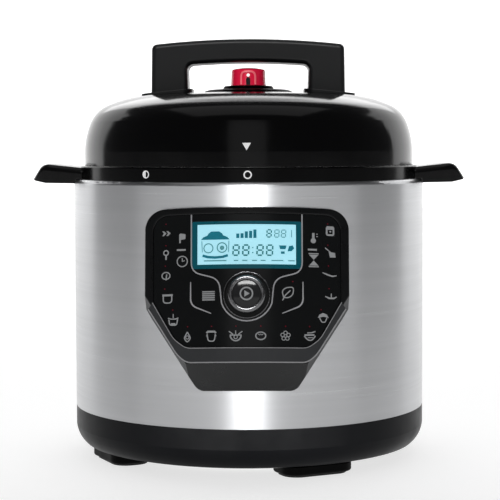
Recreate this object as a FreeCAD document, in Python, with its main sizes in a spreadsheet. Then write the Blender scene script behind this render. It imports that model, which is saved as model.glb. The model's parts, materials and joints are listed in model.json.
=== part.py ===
"""Electric pressure cooker, modelled as the pieces it comes apart into.

Frame: millimetres, +Z up, origin on the table under the cooker's axis, front of the cooker towards -Y.
Every driving dimension is a cell of the sheet "Sizes"; sketches, primitives and placements are bound to it.
"""
import FreeCAD, Part

import math
import os
import re

import Sketcher

SIZES = {
    # round body and base
    "body_radius": 145.0,
    "sleeve_low": 41.1,
    "sleeve_top": 227.9,
    "sleeve_wall": 0.8,
    "shoulder": 3.0,
    "base_low": 8.6,
    "base_wall": 3.2,
    "base_foot_radius": 131.0,
    "base_edge_radius": 137.0,
    "base_edge_z": 10.2,
    "base_curve_z": 25.0,
    "base_curve": 22.0,
    "plate_radius": 95.0,
    "plate_thickness": 2.0,
    # feet
    "foot_turn": 26.0,
    "foot_inner": 97.0,
    "foot_outer": 132.0,
    "foot_half_width": 30.0,
    "foot_corner": 12.0,
    "foot_sole_round": 2.0,
    "pad_thickness": 1.5,
    # upper ring and side handles
    "ring_radius": 139.5,
    "ring_top": 239.0,
    "ring_inner": 118.2,
    "handle_reach": 178.0,
    "handle_low": 224.6,
    "handle_high": 240.2,
    "handle_half_width": 33.0,
    "handle_screw_z": 234.9,
    "grip_round": 5.0,
    # outer pot with its bayonet lugs
    "pot_wall_radius": 118.0,
    "pot_sheet": 1.0,
    "pot_bottom": 44.0,
    "flange_low": 237.0,
    "flange_high": 239.5,
    "lug_radius": 128.0,
    "lug_sweep": 26.0,
    # inner pot
    "inner_radius": 111.0,
    "inner_sheet": 1.6,
    "inner_bottom": 62.0,
    "inner_top": 236.0,
    "inner_rim_radius": 116.4,
    # lid
    "lid_low": 239.4,
    "lid_radius": 136.4,
    "lid_wall": 3.0,
    "lid_top": 299.7,
    "lid_crown_curve": 1185.0,
    "skirt_radius": 131.4,
    "skirt_sheet": 1.2,
    "tooth_low": 233.4,
    "tooth_high": 236.0,
    "tooth_radius": 122.4,
    "tooth_sweep": 24.0,
    "seal_inner": 104.0,
    "seal_outer": 116.0,
    "seal_low": 236.4,
    "seal_high": 247.0,
    # top handle
    "bridge_half_length": 80.0,
    "bridge_half_width": 19.0,
    "bridge_top": 342.8,
    "bridge_end_top": 338.2,
    "bridge_under": 323.8,
    # pressure valve
    "valve_base_radius": 22.0,
    "valve_base_low": 298.6,
    "valve_base_top": 304.6,
    "valve_radius": 14.6,
    "valve_top": 319.6,
    "float_y": 40.0,
    # control panel, in its own leaning frame
    "panel_reach": 158.0,
    "panel_mid_z": 153.0,
    "panel_lean": 10.0,
    "panel_curve": 150.0,
    "panel_half_width": 77.3,
    "panel_top": 57.6,
    "panel_corner": 15.0,
    "lip_v": -58.8,
    "panel_bottom": -78.8,
    "glass_front": 0.6,
    "glass_back": 2.8,
    "window_front": 0.75,
    "lcd_half_width": 41.2,
    "lcd_low": 11.6,
    "lcd_high": 47.2,
    "knob_v": -8.2,
    "well_radius": 17.2,
    "knob_radius": 13.2,
    "cap_radius": 10.8,
    "knob_reach": 9.6,
    # inside the base
    "inlet_z": 28.6,
    "board_z": 20.0,
    "board_thickness": 1.6,
}

doc = FreeCAD.newDocument("pressure_cooker")
sheet = doc.addObject("Spreadsheet::Sheet", "Sizes")
for row, (alias, size) in enumerate(SIZES.items(), start=1):
    sheet.set(f"A{row}", alias)
    sheet.set(f"B{row}", str(size))
    sheet.setAlias(f"B{row}", alias)
doc.recompute()

NODES = []

BLADES = ((-6.5, -2.6), (0, 2.8), (6.5, -2.6))
HANDLE_SCREWS = (-20, 20)
BOARD_DEPTH = 20.0


# ---------------------------------------------------------------- values and expressions
def number(expression):
    """Work out a sum of products such as "body_radius - 2 * base_wall"."""
    total = 0.0
    for term in str(expression).replace(" - ", " + -").split(" + "):
        product = 1.0
        for factor in term.split(" * "):
            name = factor.strip().lstrip("-")
            size = float(sheet.get(name)) if name in SIZES else float(name)
            product *= -size if factor.strip().startswith("-") else size
        total += product
    return total


def formula(expression):
    """The same sum, written for setExpression."""
    return re.sub(r"[a-z_]+[a-z]", lambda word: "Sizes." + word.group(0), str(expression))


def negated(expression):
    """The same sum with every sign turned round."""
    terms = expression.replace(" - ", " + -").split(" + ")
    return " + ".join(term[1:] if term.startswith("-") else "-" + term for term in terms)


def bind(feature, **properties):
    for name, expression in properties.items():
        feature.setExpression(name, formula(expression))


def put(feature, x="0", y="0", z="0", axis=(0, 0, 1), turn=0.0):
    """Place a feature; its position stays bound to the sheet."""
    base = FreeCAD.Vector(number(x), number(y), number(z))
    feature.Placement = FreeCAD.Placement(base, FreeCAD.Rotation(FreeCAD.Vector(*axis), turn))
    for letter, expression in zip("xyz", (x, y, z)):
        feature.setExpression("Placement.Base." + letter, formula(expression))
    return feature


def node(feature, label):
    """Name a finished sub-part."""
    feature.Label = label
    NODES.append(feature)
    return feature


# ---------------------------------------------------------------- primitives and booleans
def cylinder(radius, height, x="0", y="0", z="0", axis=(0, 0, 1), turn=0.0, sweep=360.0):
    feature = doc.addObject("Part::Cylinder", "Cylinder")
    bind(feature, Radius=radius, Height=height)
    feature.Angle = sweep
    return put(feature, x, y, z, axis, turn)


def box(length, width, height, x="0", y="0", z="0", axis=(0, 0, 1), turn=0.0):
    """A box by its three lengths and its lowest corner."""
    feature = doc.addObject("Part::Box", "Box")
    bind(feature, Length=length, Width=width, Height=height)
    return put(feature, x, y, z, axis, turn)


def torus(ring_radius, wire_radius, z, sweep=360.0, turn=0.0):
    feature = doc.addObject("Part::Torus", "Torus")
    bind(feature, Radius1=ring_radius, Radius2=wire_radius)
    feature.Angle3 = sweep
    return put(feature, z=z, turn=turn)


def cut(base, *tools):
    """Take each tool away from the base in turn."""
    for tool in tools:
        feature = doc.addObject("Part::Cut", "Cut")
        feature.Base = base
        feature.Tool = tool
        base = feature
    return base


def fuse(*shapes):
    feature = doc.addObject("Part::MultiFuse", "Fusion")
    feature.Shapes = list(shapes)
    return feature


def common(*shapes):
    feature = doc.addObject("Part::MultiCommon", "Common")
    feature.Shapes = list(shapes)
    return feature


def group(*shapes):
    """Identical separate pieces kept together in one node."""
    feature = doc.addObject("Part::Compound", "Group")
    feature.Links = list(shapes)
    return feature


def tube(outer, inner, height, z, x="0", y="0"):
    return cut(cylinder(outer, height, x, y, z), cylinder(inner, height, x, y, z))


# ---------------------------------------------------------------- sketched bodies
def arc_through(start, end, radius):
    """Arc of the given radius; positive turns left on the way from start to end."""
    chord = end - start
    half = chord.Length / 2
    left = FreeCAD.Vector(-chord.y, chord.x, 0).normalize()
    side = 1 if radius > 0 else -1
    centre = start + chord * 0.5 + left * side * math.sqrt(radius * radius - half * half)
    middle = centre - left * side * abs(radius)
    return Part.Arc(start, middle, end)


def draw_loop(sketch, loop):
    """Draw one closed loop of (x, y) or (x, y, radius of the arc that ends there) corners.

    An arc turns left on its way round the loop, or right when its radius is written with a leading minus.
    """
    first = sketch.GeometryCount
    corners = [FreeCAD.Vector(number(corner[0]), number(corner[1]), 0) for corner in loop]
    ends = []
    for index, corner in enumerate(loop):
        start = corners[index - 1]
        end = corners[index]
        if len(corner) == 2:
            sketch.addGeometry(Part.LineSegment(start, end), False)
            ends.append((1, 2))
        else:
            bend = number(corner[2].lstrip("-")) * (-1 if corner[2].startswith("-") else 1)
            sketch.addGeometry(arc_through(start, end, bend), False)
            ends.append((1, 2) if bend > 0 else (2, 1))
    count = len(loop)
    for index in range(count):
        following = (index + 1) % count
        here = (first + index, ends[index][1])
        there = (first + following, ends[following][0])
        sketch.addConstraint(Sketcher.Constraint("Coincident", *here, *there))
    for index, corner in enumerate(loop):
        for kind, expression in zip(("DistanceX", "DistanceY"), corner):
            place = Sketcher.Constraint(kind, -1, 1, first + index, ends[index][1], number(expression))
            tag = sketch.addConstraint(place)
            sketch.setExpression(f"Constraints[{tag}]", formula(expression))
        if len(corner) == 3:
            radius = corner[2].lstrip("-")
            tag = sketch.addConstraint(Sketcher.Constraint("Radius", first + index, number(radius)))
            sketch.setExpression(f"Constraints[{tag}]", formula(radius))


def draw_circle(sketch, x, y, radius):
    centre = FreeCAD.Vector(number(x), number(y), 0)
    ring = sketch.addGeometry(Part.Circle(centre, FreeCAD.Vector(0, 0, 1), number(radius)), False)
    for kind, expression in (("DistanceX", x), ("DistanceY", y)):
        tag = sketch.addConstraint(Sketcher.Constraint(kind, -1, 1, ring, 3, number(expression)))
        sketch.setExpression(f"Constraints[{tag}]", formula(expression))
    tag = sketch.addConstraint(Sketcher.Constraint("Radius", ring, number(radius)))
    sketch.setExpression(f"Constraints[{tag}]", formula(radius))


def sketch_on(body, plane, loops=(), circles=(), offset="0"):
    """A sketch on one of the body's own origin planes, moved along its normal by the offset."""
    sketch = body.newObject("Sketcher::SketchObject", "Sketch")
    origin_plane = [item for item in body.Origin.OriginFeatures if item.Role == plane][0]
    sketch.AttachmentSupport = [(origin_plane, "")]
    sketch.MapMode = "FlatFace"
    sketch.AttachmentOffset = FreeCAD.Placement(FreeCAD.Vector(0, 0, number(offset)), FreeCAD.Rotation())
    sketch.setExpression("AttachmentOffset.Base.z", formula(offset))
    for loop in loops:
        draw_loop(sketch, loop)
    for circle in circles:
        draw_circle(sketch, *circle)
    return sketch


def turned(*loops):
    """A body of revolution about Z from (radius, height) loops."""
    body = doc.addObject("PartDesign::Body", "Turned")
    sketch = sketch_on(body, "XZ_Plane", loops)
    revolution = body.newObject("PartDesign::Revolution", "Revolution")
    revolution.Profile = sketch
    revolution.ReferenceAxis = (sketch, ["V_Axis"])
    revolution.Angle = 360
    return body


def padded(plane, start, length, loops=(), circles=()):
    """A pad of the loops, from the start along the plane's normal. The XZ plane's normal is -Y."""
    body = doc.addObject("PartDesign::Body", "Padded")
    sketch = sketch_on(body, plane, loops, circles, start)
    pad = body.newObject("PartDesign::Pad", "Pad")
    pad.Profile = sketch
    bind(pad, Length=length)
    return body


def rounded(body, radius, chosen):
    """Round the edges of a body's last feature that the test picks."""
    doc.recompute()
    pad = body.Tip
    names = [f"Edge{index}" for index, edge in enumerate(pad.Shape.Edges, start=1) if chosen(edge)]
    fillet = body.newObject("PartDesign::Fillet", "Fillet")
    fillet.Base = (pad, names)
    bind(fillet, Radius=radius)
    return body


def softened(shape, radius, chosen):
    """Round the edges of any shape that the test picks."""
    doc.recompute()
    feature = doc.addObject("Part::Fillet", "Softened")
    feature.Base = shape
    edges = enumerate(shape.Shape.Edges, start=1)
    feature.Edges = [(index, radius, radius) for index, edge in edges if chosen(edge)]
    return feature


def rounded_rectangle(x0, x1, y0, y1, corner):
    """Counter-clockwise rectangle with round corners."""
    return [
        (f"{x1} - {corner}", y0),
        (x1, f"{y0} + {corner}", corner),
        (x1, f"{y1} - {corner}"),
        (f"{x1} - {corner}", y1, corner),
        (f"{x0} + {corner}", y1),
        (x0, f"{y1} - {corner}", corner),
        (x0, f"{y0} + {corner}"),
        (f"{x0} + {corner}", y0, corner),
    ]


def around(make, count, first=0.0):
    """The same piece made at equal angles about the cooker's axis."""
    return [make(first + 360.0 * index / count) for index in range(count)]


def place_of(radius, angle):
    """A point at a radius and an angle from +X, as two expressions."""
    turn = math.radians(angle)
    return str(round(radius * math.cos(turn), 3)), str(round(radius * math.sin(turn), 3))


# ---------------------------------------------------------------- base
def build_base():
    outer = [
        ("plate_radius - 6", "base_low"),
        ("base_foot_radius", "base_low"),
        ("base_edge_radius", "base_edge_z"),
        ("body_radius", "base_curve_z", "base_curve"),
        ("body_radius", "sleeve_low"),
    ]
    inner = [
        ("body_radius - base_wall", "sleeve_low"),
        ("body_radius - base_wall", "base_curve_z"),
        ("base_edge_radius - base_wall", "base_edge_z + base_wall", "-base_curve - 1"),
        ("base_foot_radius", "base_low + base_wall"),
        ("plate_radius - 6", "base_low + base_wall"),
    ]
    shell = turned(outer + inner)
    core = turned(outer + [("0", "sleeve_low"), ("0", "base_low")])
    block = box("66", "8", "28", "-33", "132", "sleeve_low - 28")
    bosses = around(lambda angle: cylinder("5", "30", *place_of(125.0, angle), "base_low + 1"), 6)
    recess = box("56", "20", "26", "-28", "139.4", "inlet_z - 12.4")
    mouth = box("25", "30", "20", "-12.5", "120", "inlet_z - 10")
    seats = plate_screws(lambda x, y: cylinder("1.4", "8", x, y, "base_low - 1"))
    node(cut(common(core, fuse(shell, block, *bosses)), recess, mouth, *seats), "base_housing")


def plate_screws(make):
    """The same piece made at each of the four screws that hold the base plate."""
    circle = number("plate_radius - 3.2")
    return around(lambda angle: make(*place_of(circle, angle)), 4, 45.0)


def build_base_plate():
    disc = cylinder("plate_radius", "plate_thickness", z="base_low - plate_thickness")
    slots = []
    for side in (-1, 1):
        for index in range(6):
            slots.append(box("40", "3", "4", str(side * 45 - 20), str(-30 + 12 * index), "base_low - 3"))
    holes = plate_screws(lambda x, y: cylinder("2.0", "4", x, y, "base_low - 3"))
    node(cut(disc, *slots, *holes), "base_plate")

    def screw(x, y):
        shank = cylinder("1.4", "6", x, y, "base_low - plate_thickness")
        head = cylinder("3.2", "1.6", x, y, "base_low - plate_thickness - 1.6")
        return fuse(shank, head)

    node(group(*plate_screws(screw)), "base_screws")


def foot_block(inset, low, height):
    """One foot or its rubber pad, before it is turned to its place."""
    outline = rounded_rectangle(
        f"foot_inner + {inset}",
        f"foot_outer - {inset}",
        f"-foot_half_width + {inset}",
        f"foot_half_width - {inset}",
        "foot_corner",
    )
    return padded("XY_Plane", low, height, [outline])


def at_sole(edge):
    """Picks the edges round the underside of a foot."""
    return all(abs(vertex.Z - number("pad_thickness")) < 0.01 for vertex in edge.Vertexes)


def build_feet():
    def foot(angle):
        block = foot_block("0", "pad_thickness", "base_low - pad_thickness")
        return put(rounded(block, "foot_sole_round", at_sole), turn=angle)

    def pad(angle):
        return put(foot_block("3", "0", "pad_thickness"), turn=angle)

    first = number("foot_turn") - 90.0
    node(group(*around(foot, 4, first)), "feet")
    node(group(*around(pad, 4, first)), "foot_pads")


# ---------------------------------------------------------------- steel body, ring and side handles
def build_sleeve():
    sleeve = turned([
        ("body_radius - sleeve_wall", "sleeve_low"),
        ("body_radius", "sleeve_low"),
        ("body_radius", "sleeve_top - shoulder"),
        ("body_radius - shoulder", "sleeve_top", "shoulder"),
        ("ring_radius - 2", "sleeve_top"),
        ("ring_radius - 2", "sleeve_top - sleeve_wall"),
        ("body_radius - shoulder", "sleeve_top - sleeve_wall"),
        ("body_radius - sleeve_wall", "sleeve_top - shoulder", "-shoulder - sleeve_wall"),
    ])
    node(cut(sleeve, face_prism([glass_outline("4")])), "steel_sleeve")


def build_upper_ring():
    ring = turned([
        ("ring_inner", "sleeve_top - 8"),
        ("ring_radius - 3", "sleeve_top - 8"),
        ("ring_radius - 3", "sleeve_top"),
        ("ring_radius", "sleeve_top"),
        ("ring_radius", "ring_top - 0.8"),
        ("ring_radius - 0.8", "ring_top", "0.8"),
        ("lid_radius - 3", "ring_top"),
        ("lid_radius - 3", "tooth_low - 2"),
        ("ring_inner + 2.3", "tooth_low - 2"),
        ("ring_inner + 2.3", "flange_low"),
        ("ring_inner", "flange_low"),
    ])
    drain = cylinder("2.5", "14", y="127.5", z="sleeve_top - 9")
    seats = [screw_seat(turn, y) for turn in (0.0, 180.0) for y in HANDLE_SCREWS]
    node(cut(ring, drain, *seats), "upper_ring")


def screw_seat(turn, y):
    """Hole and head recess of one side handle screw in the upper ring's wall."""
    recess = cylinder("3.2", "8", "126", f"{y}", "handle_screw_z", (0, 1, 0), 90.0)
    hole = cylinder("1.6", "10", "132", f"{y}", "handle_screw_z", (0, 1, 0), 90.0)
    return put(fuse(recess, hole), turn=turn)


def build_side_handle(side, label):
    """A grip with a raised lip; hollow below for the fingers."""
    profile = [
        ("body_radius - 9", "handle_low"),
        ("body_radius + 22", "handle_low + 0.4"),
        ("handle_reach - 1.4", "handle_low + 2.2"),
        ("handle_reach", "handle_low + 4.2", "1.8"),
        ("handle_reach - 6.4", "handle_high - 2.6"),
        ("handle_reach - 13.4", "handle_high + 0.4", "9"),
        ("body_radius - 9", "handle_high - 2.6"),
    ]
    slab = padded("XZ_Plane", "-handle_half_width", "2 * handle_half_width", [profile])
    plan = padded("XY_Plane", "handle_low - 5", "handle_high - handle_low + 12", [[
        ("body_radius - 12", "-handle_half_width + 1"),
        ("body_radius + 12", "-handle_half_width + 4"),
        ("handle_reach + 1", "-handle_half_width + 19", "30"),
        ("handle_reach + 1", "handle_half_width - 19", "95"),
        ("body_radius + 12", "handle_half_width - 4", "30"),
        ("body_radius - 12", "handle_half_width - 1"),
    ]])
    grip = softened(common(slab, plan), number("grip_round"), on_grip_rim)
    fingers = box("18", "40", "10", "body_radius + 8", "-20", "handle_low - 1")
    body_wall = cylinder("body_radius + 0.05", "sleeve_top - 200", z="200")
    ring_wall = cylinder("ring_radius + 0.05", "20", z="sleeve_top - 0.2")
    holes = [cylinder("1.6", "13", "136", f"{y}", "handle_screw_z", (0, 1, 0), 90.0) for y in HANDLE_SCREWS]
    handle = cut(grip, fingers, body_wall, ring_wall, *holes)
    node(put(handle, turn=0.0 if side > 0 else 180.0), label)


def on_grip_rim(edge):
    """Picks the edges where the top and the end of a side handle meet its sides."""
    bounds = edge.BoundBox
    return bounds.ZMin > number("handle_low + 3") and bounds.XLength > 0.01


def build_handle_screws():
    """Two screws from inside the upper ring into each side handle."""
    screws = []
    for turn in (0.0, 180.0):
        for y in HANDLE_SCREWS:
            shank = cylinder("1.5", "14.5", "133.5", f"{y}", "handle_screw_z", (0, 1, 0), 90.0)
            head = cylinder("3", "1.8", "132.1", f"{y}", "handle_screw_z", (0, 1, 0), 90.0)
            screws.append(put(fuse(shank, head), turn=turn))
    node(group(*screws), "side_handle_screws")


# ---------------------------------------------------------------- pots and heater
def build_outer_pot():
    vessel = turned([
        ("30", "pot_bottom"),
        ("pot_wall_radius - 10", "pot_bottom"),
        ("pot_wall_radius", "pot_bottom + 10", "10"),
        ("pot_wall_radius", "flange_low"),
        ("pot_wall_radius + 3.2", "flange_low"),
        ("pot_wall_radius + 3.2", "flange_high"),
        ("pot_wall_radius - pot_sheet", "flange_high"),
        ("pot_wall_radius - pot_sheet", "pot_bottom + 10"),
        ("pot_wall_radius - 10", "pot_bottom + pot_sheet", "-9"),
        ("30", "pot_bottom + pot_sheet"),
    ])

    def lug(angle):
        turn = angle - number("lug_sweep") / 2
        sector = cylinder("lug_radius", "flange_high - flange_low", z="flange_low", turn=turn,
                          sweep=number("lug_sweep"))
        return cut(sector, cylinder("pot_wall_radius + 2", "9", z="flange_low - 3"))

    terminal_holes = [cylinder("5", "6", f"{x}", "61.2", "pot_bottom - 2") for x in (-10, 10)]
    node(cut(fuse(vessel, *around(lug, 6, 60.0)), *terminal_holes), "outer_pot")


def build_inner_pot():
    pot = turned([
        ("0", "inner_bottom"),
        ("inner_radius - 14", "inner_bottom"),
        ("inner_radius", "inner_bottom + 14", "14"),
        ("inner_radius", "inner_top - inner_sheet"),
        ("inner_rim_radius", "inner_top - inner_sheet"),
        ("inner_rim_radius", "inner_top"),
        ("inner_radius - inner_sheet", "inner_top"),
        ("inner_radius - inner_sheet", "inner_bottom + 14"),
        ("inner_radius - 14", "inner_bottom + inner_sheet", "-14 - inner_sheet"),
        ("0", "inner_bottom + inner_sheet"),
    ])
    node(pot, "inner_pot")


def build_heater():
    plate = turned([
        ("16", "inner_bottom - 8"),
        ("86", "inner_bottom - 8"),
        ("86", "inner_bottom - 2"),
        ("84", "inner_bottom"),
        ("16", "inner_bottom"),
    ])
    posts = around(
        lambda angle: cylinder("4", "inner_bottom - 8 - pot_bottom - pot_sheet", *place_of(76.0, angle),
                               "pot_bottom + pot_sheet"), 3, 30.0)
    node(fuse(plate, *posts), "heating_plate")
    ring = torus("62", "4", "inner_bottom - 12", 340.0, 100.0)
    pins = [cylinder("3", "20", f"{x}", "61.2", "inner_bottom - 32") for x in (-10, 10)]
    node(fuse(ring, *pins), "heating_element")


def build_sensor():
    cap = cut(
        cylinder("15", "13", z="inner_bottom - 13.1"),
        cylinder("14", "11", z="inner_bottom - 13.1"),
    )
    node(cap, "sensor_cap")
    bracket = turned([
        ("4", "pot_bottom - 6"),
        ("24", "pot_bottom - 6"),
        ("27", "pot_bottom - 1.2"),
        ("35", "pot_bottom - 1.2"),
        ("35", "pot_bottom"),
        ("26", "pot_bottom"),
        ("23", "pot_bottom - 4.8"),
        ("4", "pot_bottom - 4.8"),
    ])
    node(bracket, "sensor_bracket")
    spring = tube("11", "9", "inner_bottom - 2.2 - pot_bottom + 4.8", "pot_bottom - 4.8")
    node(spring, "sensor_spring")


def build_safety_parts():
    """A thermal fuse strapped under the pot and a switch that feels the pot's stretch."""
    fuse_body = cylinder("3.2", "22", "-70", "-20", "pot_bottom - 3.3", (1, 0, 0), 90.0)
    node(fuse_body, "thermal_fuse")
    clip = cut(
        box("12", "10", "4", "-76", "-36", "pot_bottom - 4"),
        cylinder("3.25", "30", "-70", "-10", "pot_bottom - 3.3", (1, 0, 0), 90.0),
    )
    node(clip, "fuse_clip")
    switch = fuse(
        box("20", "12", "14", "48", "-46", "pot_bottom - 18"),
        box("26", "8", "2", "45", "-44", "pot_bottom - 4"),
        cylinder("2", "2", "58", "-40", "pot_bottom - 2"),
    )
    node(switch, "pressure_switch")


# ---------------------------------------------------------------- electronics in the base
def build_power_board():
    holes = [
        cylinder("1.8", "4", f"{x}", f"{y}", "board_z - 1") for x in (-62, 62) for y in (-16, 48)
    ]
    board = box("136", "78", "board_thickness", "-68", "-22", "board_z")
    node(cut(board, *holes), "power_board")
    stands = []
    for x in (-62, 62):
        for y in (-16, 48):
            post = cylinder("3.5", "board_z - base_low", f"{x}", f"{y}", "base_low")
            peg = cylinder("1.7", "board_thickness + 1", f"{x}", f"{y}", "board_z")
            stands.append(fuse(post, peg))
    node(group(*stands), "board_standoffs")
    top = "board_z + board_thickness"
    node(box("20", "16", "16", "-50", "22", top), "relay")
    core = box("26", "22", "5", "-13", "-18", top)
    winding = box("18", "20", "9", "-9", "-17", f"{top} + 5")
    node(fuse(core, winding), "transformer")
    cans = [cylinder("5", "14", f"{x}", "-6", top) for x in (28, 41)]
    node(group(*cans), "capacitors")
    node(box("30", "10", "11", "-15", "44", top), "terminal_block")


def build_inlet():
    """Appliance inlet at the back, with its three blades and two screws."""
    flange = box("52", "2.2", "22", "-26", "139.4", "inlet_z - 11")
    shell = box("24", "22", "19", "-12", "118", "inlet_z - 9.5")
    cavity = box("20", "19", "15", "-10", "123", "inlet_z - 7.5")
    screw_holes = [cylinder("1.6", "9", f"{x}", "143", "inlet_z", (1, 0, 0), 90.0) for x in (-20, 20)]
    blade_slots = [box("4.4", "12", "2.2", f"{x - 2.2}", "114", f"inlet_z + {z - 1.1}") for x, z in BLADES]
    node(cut(fuse(flange, shell), cavity, *screw_holes, *blade_slots), "power_inlet")
    blades = [box("4.4", "24", "2.2", f"{x - 2.2}", "112", f"inlet_z + {z - 1.1}") for x, z in BLADES]
    node(group(*blades), "inlet_blades")
    screws = []
    for x in (-20, 20):
        shank = cylinder("1.5", "8", f"{x}", "141.6", "inlet_z", (1, 0, 0), 90.0)
        head = cylinder("3", "1.4", f"{x}", "143", "inlet_z", (1, 0, 0), 90.0)
        screws.append(fuse(shank, head))
    node(group(*screws), "inlet_screws")


def bent_wire(points, radius, bend):
    """A wire of straight runs joined by tangent arcs of one bend radius."""
    corners = [FreeCAD.Vector(*point) for point in points]
    edges = []
    start = corners[0]
    for before, corner, after in zip(corners, corners[1:], corners[2:]):
        inward = (before - corner).normalize()
        outward = (after - corner).normalize()
        half_angle = inward.getAngle(outward) / 2
        reach = bend / math.tan(half_angle)
        entry = corner + inward * reach
        leave = corner + outward * reach
        bisector = (inward + outward).normalize()
        centre = corner + bisector * (bend / math.sin(half_angle))
        middle = centre - bisector * bend
        edges.append(Part.LineSegment(start, entry).toShape())
        edges.append(Part.Arc(entry, middle, leave).toShape())
        start = leave
    edges.append(Part.LineSegment(start, corners[-1]).toShape())
    path = Part.Wire(edges)
    section = Part.Wire(Part.Circle(corners[0], (corners[1] - corners[0]).normalize(), radius).toShape())
    return path.makePipeShell([section], True, False)


def wires(label, routes, radius, bend):
    feature = doc.addObject("Part::Feature", "Wires")
    feature.Shape = Part.makeCompound([bent_wire(route, radius, bend) for route in routes])
    return node(feature, label)


def build_wiring():
    """Held wires: inlet to terminal block, terminal block to heater, and panel to power board."""
    block_z = number("board_z + board_thickness") + 5.0
    inlet_z = number("inlet_z")
    inlet_routes = [
        [(x, 111.9, inlet_z + z), (x, 88.0, inlet_z + z), (x * 0.6, 74.0, block_z), (x * 0.6, 54.1, block_z)]
        for x, z in BLADES
    ]
    wires("inlet_wires", inlet_routes, 1.4, 5.0)
    pin_low = number("inner_bottom") - 32.1
    pin_y = 61.2
    heater_routes = [
        [(x, pin_y, pin_low), (x, pin_y, 24.0), (x * 2.4, pin_y, 24.0), (x * 2.4, 49.0, 24.0),
         (x * 1.53, 49.0, 24.0)] for x in (-10, 10)
    ]
    wires("heater_wires", heater_routes, 1.6, 3.3)


# ---------------------------------------------------------------- control panel
def lean():
    """The panel's own frame: u sideways, v up its face and y into the cooker."""
    base = FreeCAD.Vector(0, -number("panel_reach"), number("panel_mid_z"))
    return FreeCAD.Placement(base, FreeCAD.Rotation(FreeCAD.Vector(1, 0, 0), -number("panel_lean")))


def on_panel(feature):
    """Lean a feature that was made in the panel's own frame."""
    feature.Placement = lean().multiply(feature.Placement)
    return feature


def face_drum(sink, low="-100", high="100"):
    """Drum whose side is the panel's curved face, sunk by the given depth."""
    feature = doc.addObject("Part::Cylinder", "Drum")
    bind(feature, Radius=f"panel_curve - {sink}", Height=f"{high} - {low}")
    foot = FreeCAD.Vector(0, number("panel_curve"), number(low))
    feature.Placement = FreeCAD.Placement(foot, FreeCAD.Rotation())
    return on_panel(feature)


def face_prism(loops=(), circles=()):
    """An outline on the panel's face, pushed right through it."""
    return on_panel(padded("XZ_Plane", "-40", "60", loops, circles))


def mirrored(half):
    """Close a right-hand half outline, listed from the bottom up, with its mirror image."""
    left = []
    for index in range(len(half) - 1, -1, -1):
        x, y = half[index][:2]
        following = half[index + 1] if index + 1 < len(half) else None
        bend = following[2:] if following else ()
        left.append((negated(x), y) + tuple(bend))
    return half + left


def panel_outline(inset="0"):
    top = f"panel_top - {inset}"
    side = f"panel_half_width - {inset}"
    return mirrored([
        (f"32.1 - {inset}", f"panel_bottom + {inset}"),
        (f"39.7 - {inset}", f"panel_bottom + 4.1 + {inset}", "9"),
        (side, f"-17 + {inset}"),
        (side, f"{top} - panel_corner"),
        (f"{side} - panel_corner", top, "panel_corner"),
    ])


def glass_outline(inset="0"):
    side = f"71 - {inset}"
    top = f"53 - {inset}"
    return mirrored([
        (f"45.4 - {inset}", f"-47 + {inset}"),
        (f"54.6 - {inset}", f"-40 + {inset}"),
        (side, f"-12 + {inset}"),
        (side, f"{top} - 12"),
        (f"{side} - 12", top, "12"),
    ])


def lip_planes():
    """Two slanting slabs that shape the lower corners of the housing."""
    slabs = []
    for side in (-1, 1):
        upper = FreeCAD.Vector(side * 71.5, 17.7, -16.0)
        lower = FreeCAD.Vector(side * 45.5, 6.9, -58.8)
        deep = FreeCAD.Vector(side * 57.0, 27.0, -48.0)
        normal = (lower - upper).cross(deep - upper).normalize()
        outward = normal if normal.dot(FreeCAD.Vector(side, -1, -1)) > 0 else normal * -1
        slab = doc.addObject("Part::Box", "Slab")
        slab.Length = 120
        slab.Width = 120
        slab.Height = 40
        turn = FreeCAD.Rotation(FreeCAD.Vector(0, 0, 1), outward)
        corner = (upper + lower) * 0.5 - turn.multVec(FreeCAD.Vector(60, 60, 0))
        slab.Placement = FreeCAD.Placement(corner, turn)
        slabs.append(on_panel(slab))
    return slabs


def build_panel_housing():
    drum = face_drum("0", "lip_v")
    cone = doc.addObject("Part::Cone", "Chin")
    bind(cone, Radius1="panel_curve - 33", Radius2="panel_curve", Height="27")
    cone.Placement = FreeCAD.Placement(
        FreeCAD.Vector(0, number("panel_curve"), number("lip_v - 27")), FreeCAD.Rotation())
    solid = common(fuse(drum, on_panel(cone)), face_prism([panel_outline()]))
    body_core = cylinder("body_radius + 0.05", "200", z="50")
    room = common(face_drum("glass_back"), face_prism([glass_outline("2.4")]))
    pocket = face_prism([glass_outline()])
    seat = cut(pocket, face_drum("glass_back"))
    node(cut(solid, body_core, *lip_planes(), room, seat), "panel_housing")


def build_panel_face():
    """Gloss fascia with openings for the display and the knob."""
    layer = cut(face_drum("glass_front"), face_drum("glass_back"))
    lcd = rounded_rectangle("-lcd_half_width", "lcd_half_width", "lcd_low", "lcd_high", "1.5")
    sheet_prism = face_prism([glass_outline("0.15"), lcd], [("0", "knob_v", "well_radius")])
    node(common(layer, sheet_prism), "panel_fascia")
    window_layer = cut(face_drum("window_front"), face_drum("glass_back"))
    window = face_prism([rounded_rectangle("-lcd_half_width + 0.05", "lcd_half_width - 0.05",
                                           "lcd_low + 0.05", "lcd_high - 0.05", "1.5")])
    node(common(window_layer, window), "display_window")


def panel_box(u, v, depth, width, height, thickness):
    """A box centred on the panel's face at (u, v), starting at a depth behind it."""
    corner = (f"{u} - {width / 2}", f"{depth}", f"{v} - {height / 2}")
    feature = box(f"{width}", f"{thickness}", f"{height}", *corner)
    feature.setExpression("Placement.Base.x", None)
    feature.setExpression("Placement.Base.y", None)
    feature.setExpression("Placement.Base.z", None)
    return on_panel(feature)


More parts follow.
